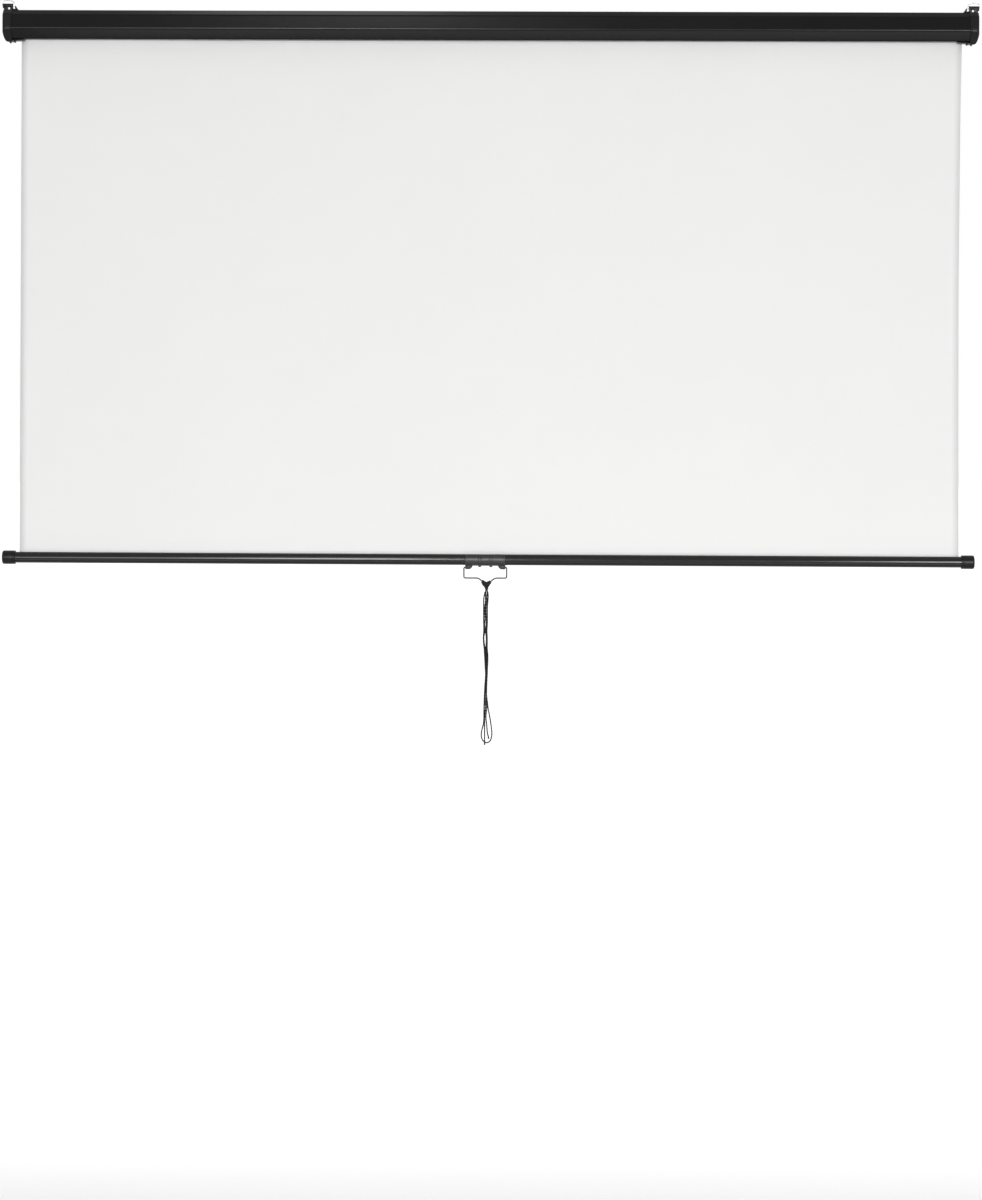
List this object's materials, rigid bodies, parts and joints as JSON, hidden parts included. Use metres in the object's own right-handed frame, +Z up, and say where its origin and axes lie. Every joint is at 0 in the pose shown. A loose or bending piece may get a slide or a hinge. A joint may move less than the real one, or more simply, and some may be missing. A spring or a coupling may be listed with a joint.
{
  "type": "pull-down projector screen",
  "caption": "White projection screen that pulls down from a spring roller in a faceted casing, with end caps, hanging rings, a weighted bottom bar, a wire handle and a knotted pull cord.",
  "frame": {"origin": "middle of the casing's flat back, on the wall", "axes": "+X runs to the right along the casing, +Y into the wall, +Z up"},
  "size_m": [1.6102, 0.0521, 1.2276],
  "materials": {
    "casing_paint": "satin black paint on thin sheet",
    "bar_paint": "semi-gloss black paint",
    "black_plastic": "fine-textured moulded plastic",
    "grey_plastic": "plain moulded plastic",
    "bright_steel": "zinc plated",
    "black_wire": "black coated wire",
    "black_cord": "braided cord",
    "screen_fabric": "matte white"
  },
  "bodies": {
    "housing": {"housing_shell": "casing_paint", "end_cap_right": "black_plastic", "end_cap_left": "black_plastic", "cap_screw_right_front": "bright_steel", "cap_screw_left_front": "bright_steel", "cap_screw_right_back": "bright_steel", "cap_screw_left_back": "bright_steel", "spring_spindle": "bright_steel", "ratchet_wheel": "bright_steel", "idle_bush": "grey_plastic"},
    "roller": {"roller_tube": "bright_steel", "roller_head": "grey_plastic", "idle_plug": "grey_plastic", "idle_pin": "bright_steel", "spindle_bush": "grey_plastic", "torsion_spring": "bright_steel", "fabric_roll": "screen_fabric", "pawl_pin_upper": "bright_steel", "pawl_pin_lower": "bright_steel"},
    "pawl_upper": {"pawl_upper": "bright_steel"},
    "pawl_lower": {"pawl_lower": "bright_steel"},
    "screen": {"screen_fabric": "screen_fabric", "hem_rod": "grey_plastic", "bottom_bar": "bar_paint", "bar_cap_right": "black_plastic", "bar_cap_left": "black_plastic", "handle_clip": "black_plastic", "clip_screw_left": "black_wire", "clip_screw_right": "black_wire"},
    "handle": {"handle_bail": "black_wire", "cord_knot": "black_cord"},
    "cord": {"cord_loop": "black_cord", "cord_tail_straight": "black_cord", "cord_tail_bent": "black_cord", "cord_tip_straight": "black_cord", "cord_tip_bent": "black_cord"},
    "ring_left": {"hanging_ring_left": "bright_steel"},
    "ring_right": {"hanging_ring_right": "bright_steel"}
  },
  "joints": [
    {"name": "screen_slide", "type": "slide", "parent": "housing", "child": "screen", "axis": [0, 0, 1], "range_m": [0, 0.837], "deforming": ["screen_fabric"]},
    {"name": "roller_spin", "type": "hinge", "parent": "housing", "child": "roller", "pos_m": [0, -0.028, -0.002], "axis": [1, 0, 0], "range_deg": [0, 2750]},
    {"name": "pawl_upper_swing", "type": "hinge", "parent": "roller", "child": "pawl_upper", "pos_m": [-0.7828, -0.028, 0.0094], "axis": [-1, 0, 0], "range_deg": [0, 25]},
    {"name": "pawl_lower_swing", "type": "hinge", "parent": "roller", "child": "pawl_lower", "pos_m": [-0.7828, -0.028, -0.0134], "axis": [-1, 0, 0], "range_deg": [-20, 5]},
    {"name": "handle_swing", "type": "hinge", "parent": "screen", "child": "handle", "pos_m": [-0.004, -0.0121, -0.8914], "axis": [-1, 0, 0], "range_deg": [-10, 90]},
    {"name": "cord_swing", "type": "hinge", "parent": "handle", "child": "cord", "pos_m": [-0.0018, -0.0121, -0.9259], "axis": [-1, 0, 0], "range_deg": [-90, 30]},
    {"name": "ring_left_swing", "type": "hinge", "parent": "housing", "child": "ring_left", "pos_m": [-0.7944, -0.033, 0.0316], "axis": [1, 0, 0], "range_deg": [-110, 110]},
    {"name": "ring_right_swing", "type": "hinge", "parent": "housing", "child": "ring_right", "pos_m": [0.7944, -0.033, 0.0316], "axis": [1, 0, 0], "range_deg": [-110, 110]}
  ],
  "couplings": [
    {"joint": "roller_spin", "follows": "screen_slide", "rad_per_m": 57.3}
  ]
}
